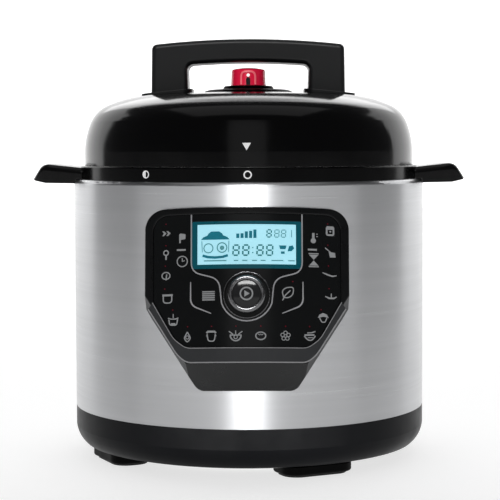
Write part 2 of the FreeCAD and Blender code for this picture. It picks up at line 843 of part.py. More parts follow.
def panel_rod(radius, length, depth, u="0", v="knob_v"):
    """A round piece square to the panel's face, from the given depth inwards."""
    feature = doc.addObject("Part::Cylinder", "Rod")
    bind(feature, Radius=radius, Height=length)
    place = FreeCAD.Vector(number(u), number(depth), number(v))
    feature.Placement = FreeCAD.Placement(place, FreeCAD.Rotation(FreeCAD.Vector(1, 0, 0), -90))
    return on_panel(feature)


def lamp_places():
    """Where the program lamps stand: a column at each side and a row along the bottom."""
    column = ((61.5, 45.5), (61.5, 30.5), (61.5, 14.5), (61.5, -2.5), (56.0, -19.0))
    columns = [(side * u, v) for side in (-1, 1) for u, v in column]
    row = [(18.3 * index - 45.5, -31.5) for index in range(6)]
    return columns + row


def build_display():
    node(panel_box(0, 29.4, 9.6, 88.0, 38.0, 5.6), "display_module")
    slab = panel_box(0, 2.0, BOARD_DEPTH, 132.0, 90.0, 1.6)
    shaft_hole = panel_rod("4", "9", "12")
    node(common(cut(slab, shaft_hole), face_prism([glass_outline("5.5")])), "display_board")
    lamps = [panel_box(u, v, lamp_depth(u), 3.0, 2.0, 1.6) for u, v in lamp_places()]
    node(group(*lamps), "indicator_lamps")


def lamp_depth(across):
    """Depth just behind the curved fascia at this distance from its middle."""
    back = number("panel_curve - glass_back")
    return number("panel_curve") - math.sqrt(back ** 2 - (abs(across) + 1.5) ** 2) + 0.1


def build_knob():
    well = cut(
        panel_rod("well_radius - 0.05", "4.2", "0.2"),
        panel_rod("well_radius - 1.2", "2.7", "0"),
        panel_rod("3.6", "6", "0"),
    )
    node(well, "knob_well")
    ring = cut(
        fuse(
            panel_rod("knob_radius", "knob_reach + 2.3", "-knob_reach"),
            panel_rod("3.2", "5", "2"),
        ),
        panel_rod("cap_radius + 0.1", "knob_reach + 0.3", "-knob_reach - 1"),
        panel_rod("1.75", "20", "-3"),
    )
    node(ring, "knob_ring")
    cap = fuse(
        panel_rod("cap_radius", "6", "-knob_reach - 0.8"),
        panel_rod("1.7", "knob_reach + 6.8", "-knob_reach"),
    )
    node(cap, "knob_cap")
    encoder = cut(
        panel_box(0, number("knob_v"), 4.45, 13.0, 13.0, BOARD_DEPTH - 4.45),
        panel_rod("3.25", "3.8", "4"),
        panel_rod("2.2", "5.2", "4"),
    )
    node(encoder, "encoder")


def build_ribbon():
    """Flat cable from the display board down behind the steel to the power board."""
    strap = padded("YZ_Plane", "-38", "20", [[
        ("-22.1", "board_z + board_thickness + 2"),
        ("-118", "board_z + board_thickness + 2"),
        ("-134", "40", "-16"),
        ("-134", "102"),
        ("-142.2", "113.4"),
        ("-142.9", "112.7"),
        ("-135", "101.7"),
        ("-135", "40"),
        ("-118", "board_z + board_thickness + 1", "17"),
        ("-22.1", "board_z + board_thickness + 1"),
    ]])
    node(strap, "ribbon_cable")


# ---------------------------------------------------------------- condensation cup at the back
def build_cup():
    """A small cup that slides down off a T-shaped rail."""
    rail = fuse(
        cut(box("24", "10.2", "44", "-12", "139", "178"), cylinder("body_radius + 0.05", "60", z="170")),
        box("32", "2.4", "44", "-16", "148.2", "178"),
    )
    spout = box("20", "24", "5", "-10", "138", "217")
    spout_block = cut(spout, cylinder("body_radius + 0.05", "20", z="208"))
    channel = box("10", "30", "2.4", "-5", "136", "218.2")
    outfall = cylinder("3", "4", y="158", z="216")
    node(cut(fuse(rail, spout_block), channel, outfall), "cup_rail")
    carrier = box("42", "6.4", "36", "-21", "147.0", "178")
    slot = cut(box("33", "3.2", "40", "-16.5", "147.8", "176"))
    neck = box("25", "3", "40", "-12.5", "145.6", "176")
    cup = rounded(box_body("-26", "26", "153.2", "172", "166", "48"), "5", is_upright)
    hollow = box("48", "15.4", "50", "-24", "154.8", "168")
    node(cut(fuse(cup, carrier), slot, neck, hollow), "condensation_cup")


def box_body(x0, x1, y0, y1, low, height):
    outline = [(x0, y0), (x1, y0), (x1, y1), (x0, y1)]
    return padded("XY_Plane", low, height, [outline])


def is_upright(edge):
    """Picks the straight edges that stand along Z."""
    ends = [vertex.Point for vertex in edge.Vertexes]
    if len(ends) != 2:
        return False
    across = math.hypot(ends[0].x - ends[1].x, ends[0].y - ends[1].y)
    return across < 0.01 and abs(ends[0].z - ends[1].z) > 1.0


# ---------------------------------------------------------------- lid
def lid_profile(inset="0"):
    """Outer or inner face of the lid, from the rim up to the middle."""
    return [
        (f"lid_radius - {inset}", "lid_low"),
        (f"lid_radius - {inset}", "251"),
        (f"131.2 - {inset}", f"275 - 0.4 * {inset}", "66"),
        (f"116.4 - 0.7 * {inset}", f"289 - {inset}", "27"),
        (f"91 - 0.4 * {inset}", f"296.2 - {inset}", "95"),
    ]


def build_lid_cover():
    inner = lid_profile("lid_wall")
    back = [("0", "lid_top - lid_wall")]
    for index in range(len(inner) - 1, -1, -1):
        following = inner[index + 1] if index + 1 < len(inner) else ("", "", "lid_crown_curve")
        bend = (f"-{following[2]}",) if len(following) == 3 else ()
        back.append(inner[index][:2] + bend)
    shell = turned(lid_profile() + [("0", "lid_top", "lid_crown_curve")] + back)
    valve_hole = cylinder("6.1", "12", z="lid_top - 8")
    float_hole = cylinder("5", "12", y="float_y", z="lid_top - 8")
    bolt_holes = [cylinder("2.2", "12", f"{x}", f"{y}", "290") for x in (-65, 65) for y in (-10, 10)]
    node(cut(shell, valve_hole, float_hole, *bolt_holes), "lid_cover")


def build_lid_plate():
    """Pressed steel inner lid whose skirt carries the bayonet teeth."""
    dish = turned([
        ("skirt_radius", "tooth_low"),
        ("skirt_radius", "246"),
        ("126", "252"),
        ("98", "262"),
        ("0", "266"),
        ("0", "264.8"),
        ("97.6", "260.8"),
        ("125", "251"),
        ("skirt_radius - skirt_sheet", "245.4"),
        ("skirt_radius - skirt_sheet", "tooth_low"),
    ])

    def tooth(angle):
        turn = angle - number("tooth_sweep") / 2
        sector = cylinder("skirt_radius - 0.3", "tooth_high - tooth_low", z="tooth_low", turn=turn,
                          sweep=number("tooth_sweep"))
        return cut(sector, cylinder("tooth_radius", "9", z="tooth_low - 3"))

    pipe_hole = cylinder("6.1", "12", z="258")
    float_hole = cylinder("5", "14", y="float_y", z="256")
    node(cut(fuse(dish, *around(tooth, 6, 30.0)), pipe_hole, float_hole), "inner_lid")
    posts = around(lambda angle: cut(
        cylinder("3", "31", *place_of(66.0, angle), "263.5"),
        cylinder("1.4", "31", *place_of(66.0, angle), "263.5")), 3, 90.0)
    node(group(*posts), "lid_spacers")


def build_seal():
    """Silicone ring with a groove, held by a light rack."""
    seal = turned([
        ("seal_inner", "seal_low"),
        ("seal_outer", "seal_low"),
        ("seal_outer", "seal_high"),
        ("seal_inner", "seal_high"),
        ("seal_inner", "seal_high - 3"),
        ("seal_outer - 4.5", "seal_high - 3"),
        ("seal_outer - 4.5", "seal_low + 3"),
        ("seal_inner", "seal_low + 3"),
    ])
    node(seal, "sealing_ring")
    band = tube("110.8", "100.5", "1.8", "241.2")
    posts = around(lambda angle: cylinder("1.1", "17.3", *place_of(102.0, angle), "241.5"), 6, 15.0)
    node(fuse(band, *posts), "seal_rack")


def build_valves():
    pipe = cut(
        fuse(cylinder("6", "47.6", z="257"), cylinder("11", "3", z="259.5"), cylinder("4", "5.6", z="304.3")),
        cylinder("2", "60", z="256"),
    )
    node(pipe, "steam_pipe")
    node(cut(cylinder("10", "4", z="266.1"), cylinder("6.05", "6", z="265")), "pipe_nut")
    base = turned([
        ("6.1", "valve_base_low"),
        ("valve_base_radius", "valve_base_low"),
        ("valve_base_radius", "valve_base_low + 1.6"),
        ("valve_base_radius - 1.6", "valve_base_top - 0.8"),
        ("valve_base_radius - 2.6", "valve_base_top", "1.2"),
        ("6.1", "valve_base_top"),
    ])
    node(cut(base, lid_crown()), "valve_base")
    knob = turned([
        ("7.2", "valve_base_top + 0.3"),
        ("valve_radius", "valve_base_top + 0.3"),
        ("valve_radius - 0.5", "valve_top - 3"),
        ("valve_radius - 2.2", "valve_top - 1.2", "2.2"),
        ("3", "valve_top", "40"),
        ("0", "valve_top"),
        ("0", "valve_top - 3"),
        ("7.2", "valve_top - 3"),
    ])
    node(knob, "pressure_valve")
    weight = cut(
        cylinder("7", "10", z="valve_base_top + 0.6"),
        cylinder("4.3", "5.9", z="valve_base_top"),
    )
    node(weight, "valve_weight")
    cover = cut(cylinder("16", "7", z="250.5"), cylinder("14.8", "5.6", z="251.9"))
    vents = around(lambda angle: cylinder("1.2", "4", *place_of(10.0, angle), "249"), 8)
    collar = tube("9", "6.05", "5.5", "251.9")
    node(cut(fuse(cover, collar), *vents), "filter_cap")
    stem = fuse(
        cylinder("2", "42", y="float_y", z="257"),
        cylinder("6.5", "2.4", y="float_y", z="255.6"),
        cylinder("3.6", "2", y="float_y", z="298.2"),
    )
    node(stem, "float_valve")
    guide = cut(
        fuse(cylinder("8", "2.2", y="float_y", z="264.75"), cylinder("4.9", "4", y="float_y", z="262.3")),
        cylinder("2.3", "9", y="float_y", z="260"),
    )
    node(guide, "float_guide")


def build_valve_plate():
    plate = turned([
        ("valve_base_radius + 0.2", "lid_top - 1.2"),
        ("36.5", "lid_top - 1.4"),
        ("36.5", "lid_top + 0.3"),
        ("30", "lid_top + 1.9", "14"),
        ("valve_base_radius + 0.2", "lid_top + 2.4"),
    ])
    node(cut(plate, cylinder("5", "12", y="float_y", z="lid_top - 6"), lid_crown()), "valve_plate")


def build_lid_handle():
    """Bridge handle: an arch on two legs that stand on sloping feet."""
    arch = padded("XZ_Plane", "-bridge_half_width", "2 * bridge_half_width", [[
        ("-bridge_half_length", "290"),
        ("-bridge_half_length + 31", "290"),
        ("-bridge_half_length + 30", "bridge_under - 2.1"),
        ("bridge_half_length - 30", "bridge_under - 2.1", "-600"),
        ("bridge_half_length - 31", "290"),
        ("bridge_half_length", "290"),
        ("bridge_half_length - 0.8", "bridge_end_top"),
        ("-bridge_half_length + 0.8", "bridge_end_top", "690"),
    ]])
    shaped = rounded(rounded(rounded(arch, "5", inner_corner), "4.6", outer_corner), "4", along_handle)
    feet = [
        padded("XY_Plane", "288", "15", [rounded_rectangle(f"{x - 21}", f"{x + 21}", "-24", "24", "8")])
        for x in (-67, 67)
    ]
    slopes = [padded("XZ_Plane", "-30", "60", [foot_slope(side)]) for side in (-1, 1)]
    flanges = [common(foot, slope) for foot, slope in zip(feet, slopes)]
    node(cut(fuse(shaped, *flanges), lid_crown()), "lid_handle")


def lid_crown():
    """The lid's top, 0.05 mm proud, for shaping what stands on it."""
    return turned([
        ("0", "280"),
        ("130", "280"),
        ("116.45", "289.05", "27"),
        ("91.05", "296.25", "95"),
        ("0", "lid_top + 0.05", "lid_crown_curve"),
    ])


def foot_slope(side):
    """Section of a handle foot: a wedge that follows the lid's crown."""
    corners = [("46", "290"), ("89", "290"), ("89", "297.8"), ("46", "302.1")]
    if side > 0:
        return corners
    return [(f"-{x}", z) for x, z in reversed(corners)]


def inner_corner(edge):
    """Picks the two corners under the handle's bar."""
    middle = edge.CenterOfMass
    return abs(middle.y) < 0.01 and middle.z > 300 and abs(middle.x) < number("bridge_half_length") - 20


def outer_corner(edge):
    """Picks the two corners at the ends of the handle's top."""
    middle = edge.CenterOfMass
    return abs(middle.y) < 0.01 and middle.z > 330 and abs(middle.x) > number("bridge_half_length") - 5


def along_handle(edge):
    """Picks the edges that run around the handle's two side faces, but not its feet."""
    middle = edge.CenterOfMass
    return abs(abs(middle.y) - number("bridge_half_width")) < 0.01 and middle.z > 292


def build_handle_bolts():
    """Four self-tapping screws from inside the lid cover, biting into the bridge handle's legs."""
    bolts = []
    for x in (-65, 65):
        for y in (-10, 10):
            shank = cylinder("1.45", "16", f"{x}", f"{y}", "293")
            head = cylinder("4", "2.2", f"{x}", f"{y}", "292.25")
            bolts.append(fuse(shank, head))
    node(group(*bolts), "handle_bolts")


build_base()
build_base_plate()
build_feet()
build_sleeve()
build_upper_ring()
build_side_handle(-1, "side_handle_left")
build_side_handle(1, "side_handle_right")
build_handle_screws()
build_outer_pot()
build_inner_pot()
build_heater()
build_sensor()
build_safety_parts()
build_power_board()
build_inlet()
build_wiring()
build_panel_housing()
build_panel_face()
build_display()
build_knob()
build_ribbon()
build_cup()
build_lid_cover()
build_lid_plate()
build_seal()
build_valves()
build_valve_plate()
build_lid_handle()
build_handle_bolts()

doc.recompute()

faulty = [item.Label for item in doc.Objects if "Invalid" in item.State or "Error" in item.State]
for piece in NODES:
    if piece.Shape.isNull() or not piece.Shape.isValid():
        faulty.append(piece.Label)
if faulty:
    raise RuntimeError("failed objects: " + ", ".join(faulty))

os.makedirs("parts", exist_ok=True)
for piece in NODES:
    piece.Shape.exportStep(os.path.join("parts", piece.Label + ".step"))
    bounds = piece.Shape.BoundBox
    print(f"{piece.Label:22s} solids {len(piece.Shape.Solids):2d}  volume {piece.Shape.Volume:11.1f}  "
          f"z {bounds.ZMin:7.2f} to {bounds.ZMax:7.2f}")
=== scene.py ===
"""Looks of the electric pressure cooker: materials, printed panel, marks, lights and camera.

Everything is in metres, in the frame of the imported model. Drawings on the panel are in millimetres on its
face, u to the right and v up, with the knob's axis at v = KNOB_V, and panel_face lays them on the curve.
"""

import json
import math

import bpy
from mathutils import Matrix, Vector


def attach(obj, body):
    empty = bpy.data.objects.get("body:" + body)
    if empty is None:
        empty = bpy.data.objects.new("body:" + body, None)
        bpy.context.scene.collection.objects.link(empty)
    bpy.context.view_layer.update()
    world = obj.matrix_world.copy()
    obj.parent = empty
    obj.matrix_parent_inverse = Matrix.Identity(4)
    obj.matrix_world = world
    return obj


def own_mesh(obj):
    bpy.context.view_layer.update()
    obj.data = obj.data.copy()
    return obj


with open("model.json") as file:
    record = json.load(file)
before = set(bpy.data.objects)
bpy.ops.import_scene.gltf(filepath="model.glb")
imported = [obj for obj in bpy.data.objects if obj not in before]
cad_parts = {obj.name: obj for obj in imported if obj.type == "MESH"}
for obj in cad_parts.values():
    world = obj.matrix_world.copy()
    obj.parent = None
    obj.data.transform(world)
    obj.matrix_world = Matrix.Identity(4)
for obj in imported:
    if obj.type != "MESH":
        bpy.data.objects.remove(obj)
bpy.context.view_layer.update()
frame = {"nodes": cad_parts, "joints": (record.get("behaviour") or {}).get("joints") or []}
nodes = frame["nodes"]
joints = {joint["name"]: joint for joint in frame["joints"]}
MM = 0.001


# ------------------------------------------------------------------ node material helpers
class Shader:
    """A node material under construction around one Principled shader."""

    def __init__(self, name):
        self.material = bpy.data.materials.new(name)
        self.material.use_nodes = True
        self.tree = self.material.node_tree
        self.surface = self.tree.nodes["Principled BSDF"]
        self.place = self.add("ShaderNodeTexCoord").outputs["Object"]

    def add(self, kind, **settings):
        item = self.tree.nodes.new(kind)
        for key, value in settings.items():
            setattr(item, key, value)
        return item

    def link(self, output, target):
        self.tree.links.new(output, target)

    def set(self, **values):
        """Set the shader's own sockets: keys are socket names with underscores for spaces."""
        for key, value in values.items():
            self.surface.inputs[key.replace("_", " ")].default_value = value
        return self

    def stretched(self, scale):
        mapping = self.add("ShaderNodeMapping")
        mapping.inputs["Scale"].default_value = scale
        self.link(self.place, mapping.inputs["Vector"])
        return mapping.outputs["Vector"]

    def noise(self, scale, detail=3.0, roughness=0.5, stretch=(1, 1, 1)):
        texture = self.add("ShaderNodeTexNoise")
        texture.inputs["Scale"].default_value = scale
        texture.inputs["Detail"].default_value = detail
        texture.inputs["Roughness"].default_value = roughness
        self.link(self.stretched(stretch), texture.inputs["Vector"])
        return texture.outputs["Fac"]

    def ramp(self, source, stops):
        """A colour ramp from (position, grey or colour) stops."""
        ramp = self.add("ShaderNodeValToRGB")
        elements = ramp.color_ramp.elements
        while len(elements) < len(stops):
            elements.new(0.5)
        for element, (position, shade) in zip(elements, stops):
            element.position = position
            element.color = (*shade, 1) if isinstance(shade, tuple) else (shade, shade, shade, 1)
        self.link(source, ramp.inputs["Fac"])
        return ramp.outputs["Color"]

    def colour(self, source, stops):
        self.link(self.ramp(source, stops), self.surface.inputs["Base Color"])
        return self

    def roughness(self, source, low, high):
        self.link(self.ramp(source, [(0.3, low), (0.7, high)]), self.surface.inputs["Roughness"])
        return self

    def bump(self, source, strength, depth, edge=0.0):
        """Depth, and the radius that edges are rounded to, are in metres."""
        bump = self.add("ShaderNodeBump")
        if edge:
            bevel = self.add("ShaderNodeBevel", samples=6)
            bevel.inputs["Radius"].default_value = edge
            self.link(bevel.outputs["Normal"], bump.inputs["Normal"])
        bump.inputs["Strength"].default_value = strength
        bump.inputs["Distance"].default_value = depth
        self.link(source, bump.inputs["Height"])
        self.link(bump.outputs["Normal"], self.surface.inputs["Normal"])
        return self


def grey(level):
    return (level, level, level)


# ------------------------------------------------------------------ materials
def shades(shade, spread):
    """Colour stops a little either side of a shade."""
    darker = tuple((1 - spread) * part for part in shade)
    lighter = tuple((1 + spread) * part for part in shade)
    return [(0.3, darker), (0.7, lighter)]


def moulded_plastic(name, shade, roughness, specular=0.4, edge=0.0008):
    """Matte moulding with a fine spark-eroded grain, a slight unevenness of tone and rounded edges."""
    shader = Shader(name).set(Specular_IOR_Level=specular)
    shader.colour(shader.noise(18.0, 2.0), shades(shade, 0.12))
    shader.roughness(shader.noise(60.0, 3.0), roughness - 0.05, roughness + 0.05)
    return shader.bump(shader.noise(1400.0, 2.0), 0.35, 0.00002, edge).material


def polished_plastic(name, shade, roughness, specular=0.5, edge=0.0006):
    """Gloss moulding: almost flat, with faint waviness and handling haze."""
    shader = Shader(name).set(Specular_IOR_Level=specular)
    shader.colour(shader.noise(9.0), shades(shade, 0.08))
    shader.roughness(shader.noise(30.0, 4.0, 0.6), roughness, roughness + 0.05)
    return shader.bump(shader.noise(26.0, 1.0), 0.04, 0.0002, edge).material


def brushed_sleeve():
    """Stainless sheet brushed around the body: fine level lines, reflections drawn out upright."""
    shader = Shader("brushed_sleeve").set(Metallic=1.0, Anisotropic=0.7, Anisotropic_Rotation=0.25)
    tangent = shader.add("ShaderNodeTangent", direction_type="RADIAL", axis="Z")
    shader.link(tangent.outputs["Tangent"], shader.surface.inputs["Tangent"])
    lines = shader.noise(3.0, 6.0, 0.7, (1.0, 1.0, 420.0))
    shader.colour(shader.noise(2.0, 4.0, 0.6, (1.5, 1.5, 90.0)), shades((0.47, 0.475, 0.485), 0.03))
    shader.roughness(lines, 0.27, 0.38)
    return shader.bump(lines, 0.08, 0.00003).material


def satin_metal(name, shade, roughness=0.3, scale=160.0):
    """Pressed or turned metal with a soft grain."""
    shader = Shader(name).set(Metallic=1.0)
    shader.colour(shader.noise(12.0), shades(shade, 0.08))
    shader.roughness(shader.noise(scale, 4.0), roughness - 0.08, roughness + 0.08)
    return shader.bump(shader.noise(scale * 4, 2.0), 0.08, 0.00003, 0.0003).material


def rubber(name, shade):
    shader = Shader(name)
    shader.colour(shader.noise(40.0), shades(shade, 0.12))
    shader.roughness(shader.noise(120.0), 0.65, 0.85)
    return shader.bump(shader.noise(900.0), 0.25, 0.00003).material


def silicone():
    shader = Shader("silicone").set(Subsurface_Weight=0.3, Subsurface_Radius=(0.004, 0.004, 0.003))
    shader.colour(shader.noise(25.0), shades((0.67, 0.67, 0.64), 0.07))
    shader.roughness(shader.noise(80.0), 0.4, 0.55)
    return shader.bump(shader.noise(500.0), 0.15, 0.00003).material


def clear_plastic(name, shade, transmission, roughness):
    """Tinted clear moulding."""
    shader = Shader(name).set(Transmission_Weight=transmission, IOR=1.49)
    shader.colour(shader.noise(60.0), shades(shade, 0.12))
    shader.roughness(shader.noise(90.0), roughness, roughness + 0.1)
    return shader.bump(shader.noise(150.0), 0.08, 0.0001, 0.0008).material


def circuit_board():
    shader = Shader("circuit_board")
    shader.colour(shader.noise(90.0, 1.0), [(0.46, (0.01, 0.10, 0.035)), (0.5, (0.02, 0.17, 0.06))])
    shader.roughness(shader.noise(200.0), 0.3, 0.45)
    return shader.bump(shader.noise(90.0, 1.0), 0.3, 0.00005).material


def glowing(name, shade, strength, roughness=0.25):
    """Lit display or lamp: the tone drifts a little as an edge-lit panel's does."""
    shader = Shader(name).set(Emission_Strength=strength, Specular_IOR_Level=0.3)
    tone = shader.ramp(shader.noise(14.0), shades(shade, 0.04))
    shader.link(tone, shader.surface.inputs["Base Color"])
    shader.link(tone, shader.surface.inputs["Emission Color"])
    return shader.roughness(shader.noise(100.0), roughness, roughness + 0.1).material


def printed(name, shade, roughness=0.45, glow=0.0):
    """Screen-printed ink; the glow is painted light that lifts a bright ink on a surface that faces little
    light.
    """
    shader = Shader(name).set(Emission_Strength=glow, Emission_Color=(*shade, 1))
    shader.colour(shader.noise(300.0), shades(shade, 0.06))
    return shader.roughness(shader.noise(400.0), roughness, roughness + 0.15).material


MATERIALS = {
    "base": moulded_plastic("base_plastic", (0.0012, 0.0013, 0.0016), 0.36, 0.07),
    "foot": moulded_plastic("foot_plastic", (0.0012, 0.0012, 0.0012), 0.5, 0.06),
    "bezel": moulded_plastic("bezel_plastic", (0.0055, 0.006, 0.0065), 0.30, 0.3, 0.0016),
    "satin_black": moulded_plastic("satin_black", (0.0045, 0.0047, 0.005), 0.38, 0.3),
    "ring": polished_plastic("ring_black", (0.0010, 0.0010, 0.0012), 0.14, 0.15, 0.0009),
    "handle": moulded_plastic("handle_satin", (0.004, 0.0044, 0.005), 0.36, 0.4, 0.0006),
    "gloss_black": polished_plastic("gloss_black", (0.0014, 0.0014, 0.0016), 0.11, 0.30),
    "knob_black": polished_plastic("knob_black", (0.010, 0.010, 0.0105), 0.10, 0.28),
    "side_handle": polished_plastic("side_handle_black", (0.0015, 0.0015, 0.0017), 0.16, 0.35, 0.0012),
    "fascia": polished_plastic("fascia_gloss", (0.008, 0.0088, 0.0092), 0.15, 0.3),
    "sleeve": brushed_sleeve(),
    "pressed": satin_metal("pressed_steel", (0.62, 0.62, 0.61)),
    "cast": satin_metal("cast_aluminium", (0.66, 0.66, 0.67), 0.42, 90.0),
    "coated": satin_metal("coated_pot", (0.13, 0.13, 0.135), 0.4, 220.0),
    "screw": satin_metal("screw_steel", (0.55, 0.55, 0.56), 0.25),
    "chrome": satin_metal("knob_chrome", (0.17, 0.17, 0.175), 0.24, 300.0),
    "brass": satin_metal("turned_brass", (0.62, 0.45, 0.18), 0.25),
    "rubber": rubber("foot_rubber", (0.008, 0.008, 0.008)),
    "silicone": silicone(),
    "red": clear_plastic("tinted_red", (0.80, 0.010, 0.055), 0.08, 0.14),
    # a lighter copy of the tinted red: painted highlight for the valve's rib
    "red_painted_highlight": clear_plastic("tinted_red_painted_highlight", (0.95, 0.16, 0.20), 0.0, 0.2),
    "cup": clear_plastic("smoky_clear", (0.58, 0.61, 0.63), 0.8, 0.12),
    "board": circuit_board(),
    "component": moulded_plastic("component_plastic", (0.03, 0.03, 0.035), 0.4),
    "wire": rubber("wire_sheath", (0.35, 0.04, 0.03)),
    "ribbon": moulded_plastic("ribbon_grey", (0.35, 0.35, 0.36), 0.45),
    "display": glowing("display_light", (0.42, 0.80, 0.92), 0.55),
    "display_edge": glowing("display_edge", (0.001, 0.075, 0.10), 0.4),
    "display_ink": printed("display_ink", (0.0, 0.30, 0.42)),
    "display_digit": printed("display_digit", (0.03, 0.33, 0.36)),
    "display_faint": printed("display_faint", (0.16, 0.55, 0.60)),
    "legend": printed("legend_ink", (0.46, 0.47, 0.48)),
    # white print, with a painted glow that lifts it
    "legend_white": printed("legend_white", (0.85, 0.85, 0.85), glow=0.35),
    "dead_face": printed("display_mask", (0.0015, 0.0015, 0.0018), 0.2),
    "trim": printed("trim_line", (0.52, 0.52, 0.54)),
    # painted highlight: grey ink that stands in for the light caught by the panel's rounded edges
    "edge_highlight_paint": printed("edge_highlight_paint", (0.42, 0.42, 0.43)),
    "lip": moulded_plastic("lip_strip", (0.046, 0.048, 0.051), 0.4),
    "lamp": glowing("lamp_red", (0.16, 0.002, 0.012), 0.1),
}

FINISH = {
    "base": ["base_housing"],
    "foot": ["feet", "valve_base", "valve_plate"],
    "ring": ["upper_ring"],
    "bezel": ["panel_housing"],
    "satin_black": ["power_inlet", "cup_rail", "board_standoffs"],
    "handle": ["lid_handle"],
    "side_handle": ["side_handle_left", "side_handle_right"],
    "gloss_black": ["lid_cover"],
    "knob_black": ["knob_cap"],
    "fascia": ["panel_fascia", "knob_well"],
    "sleeve": ["steel_sleeve"],
    "pressed": ["base_plate", "outer_pot", "sensor_bracket", "fuse_clip", "inner_lid", "lid_spacers",
                "seal_rack", "filter_cap"],
    "cast": ["heating_plate", "sensor_cap"],
    "coated": ["inner_pot"],
    "screw": ["base_screws", "side_handle_screws", "sensor_spring", "thermal_fuse", "inlet_screws",
              "steam_pipe", "valve_weight", "float_valve", "handle_bolts", "heating_element"],
    "chrome": ["knob_ring"],
    "brass": ["inlet_blades", "pipe_nut"],
    "rubber": ["foot_pads"],
    "silicone": ["sealing_ring", "float_guide"],
    "red": ["pressure_valve"],
    "cup": ["condensation_cup"],
    "board": ["power_board", "display_board"],
    "component": ["pressure_switch", "relay", "transformer", "capacitors", "terminal_block", "display_module",
                  "encoder"],
    "wire": ["inlet_wires", "heater_wires"],
    "ribbon": ["ribbon_cable"],
    "display": ["display_window"],
    "lamp": ["indicator_lamps"],
}


def finish_cad_nodes():
    for finish, names in FINISH.items():
        for name in names:
            for material_slot in nodes[name].material_slots:
                material_slot.material = MATERIALS[finish]


# ------------------------------------------------------------------ surfaces that carry print
KNOB = joints["knob_spin"]
KNOB_V = -8.2  # where the knob's axis stands in the panel's drawings
PANEL_CURVE = 150.0  # radius of the panel's face
GLASS_SINK = 0.6  # how far the fascia lies under the panel housing's face
WINDOW_SINK = 0.75  # the same for the display window
RING_RADIUS = 139.5
LID_RADIUS = 136.4
LID_BEND_Z = 251.0  # above this the lid's side leaves its straight rim
LID_DRAFT = 0.026
LID_BEND = 132.0  # the larger, the gentler the bend
VALVE_FOOT_Z = 304.9
VALVE_RADIUS = 14.6
VALVE_TAPER = 0.043


def panel_face(sink):
    """Places points on the control panel's curved face: u across and v up, in millimetres."""
    out = Vector(KNOB["axis"]).normalized()
    across = Vector((1, 0, 0))
    up = out.cross(across)
    middle = Vector(KNOB["pos_m"]) - up * KNOB_V * MM

    def place(u, v, lift):
        radius = PANEL_CURVE - sink + lift
        depth = PANEL_CURVE - math.sqrt(radius * radius - u * u)
        return middle + (across * u + up * v - out * depth) * MM

    return place


def drum_face(azimuth, height, radius_at):
    """Places points on a round wall: u along its girth from the azimuth, v up from the height."""
    def place(u, v, lift):
        radius = radius_at(height + v) + lift
        angle = math.radians(azimuth) + u / radius
        return Vector((radius * math.sin(angle), -radius * math.cos(angle), height + v)) * MM

    return place


def lid_wall(height):
    """Radius of the lid's side just above its straight rim."""
    rise = max(height - LID_BEND_Z, 0.0)
    return LID_RADIUS - LID_DRAFT * rise - rise * rise / LID_BEND


def ring_wall(height):
    """Radius of the upper ring's side, the same at every height."""
    return RING_RADIUS


def valve_wall(height):
    """Radius of the release valve's side, which tapers a little to the top."""
    return VALVE_RADIUS - max(height - VALVE_FOOT_Z, 0.0) * VALVE_TAPER


def disc_face(centre, out, up):
    """Places points on a flat face."""
    across = up.cross(out)

    def place(u, v, lift):
        return centre + (across * u + up * v + out * lift) * MM

    return place


# ------------------------------------------------------------------ drawing with thin raised strips
ARC_STEP = 15  # degrees
FULL_TURN = 360 - ARC_STEP  # where a closed ring's last point stands
CORNER_STEPS = 6
STRIP_STEP = 3.0  # about how often a strip has a point, so that it follows a curved face
STRIP_ROOT = -0.1  # how deep a strip's sides reach into the face


def arc(u, v, radius, start, end, flat=1.0):
    """Points along an arc, in degrees anticlockwise from u; flat squeezes it upright."""
    steps = max(4, round(abs(end - start) / ARC_STEP))
    points = []
    for index in range(steps + 1):
        angle = math.radians(start + (end - start) * index / steps)
        points.append((u + radius * math.cos(angle), v + flat * radius * math.sin(angle)))
    return points


def smooth(points, bend):
    """Round the inner corners of a line with the given reach."""
    result = [points[0]]
    for before, corner, after in zip(points, points[1:], points[2:]):
        entry = step_towards(corner, before, bend)
        leave = step_towards(corner, after, bend)
        for index in range(CORNER_STEPS + 1):
            t = index / CORNER_STEPS
            result.append(tuple(
                (1 - t) ** 2 * start + 2 * t * (1 - t) * middle + t ** 2 * end
                for start, middle, end in zip(entry, corner, leave)
            ))
    result.append(points[-1])
    return result


def step_towards(start, end, reach):
    span = math.dist(start, end)
    share = min(reach, span * 0.5) / span
    return tuple(a + (b - a) * share for a, b in zip(start, end))


